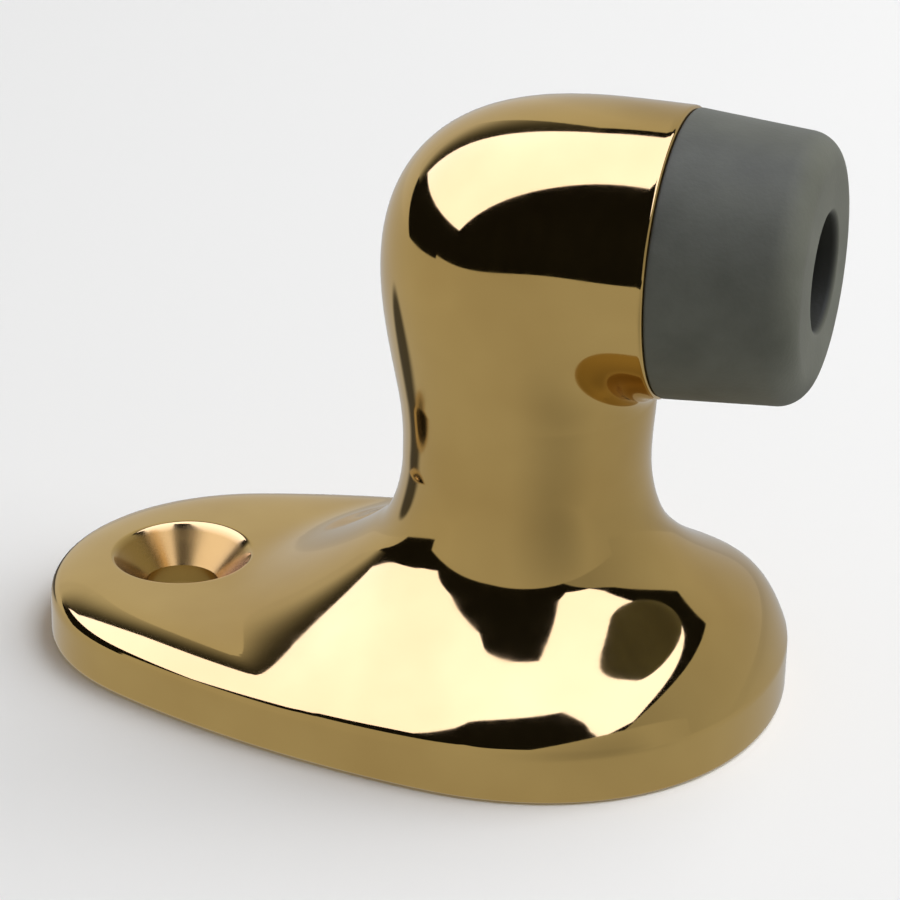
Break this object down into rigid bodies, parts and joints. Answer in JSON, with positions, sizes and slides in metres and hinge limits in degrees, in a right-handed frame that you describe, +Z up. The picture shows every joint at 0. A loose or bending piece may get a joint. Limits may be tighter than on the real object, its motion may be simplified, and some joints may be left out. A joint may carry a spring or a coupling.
{
  "type": "floor door stop",
  "caption": "Cast brass floor door stop: egg-shaped base with a countersunk screw hole, a waisted neck and an elbow head that carries a tapered rubber buffer.",
  "frame": {"origin": "on the neck's axis at the floor plane, at the mouth of the stud hole in the underside", "axes": "+X from the neck axis towards the buffer, +Z up from the floor along the neck"},
  "size_m": [0.0715, 0.0488, 0.0561],
  "materials": {
    "polished_brass": "polished and lacquered",
    "grey_rubber": "moulded, matt",
    "plated_steel": "bright zinc plate"
  },
  "bodies": {
    "root": {"brass_casting": "polished_brass", "rubber_buffer": "grey_rubber", "buffer_washer": "plated_steel", "buffer_screw": "plated_steel"}
  },
  "joints": []
}
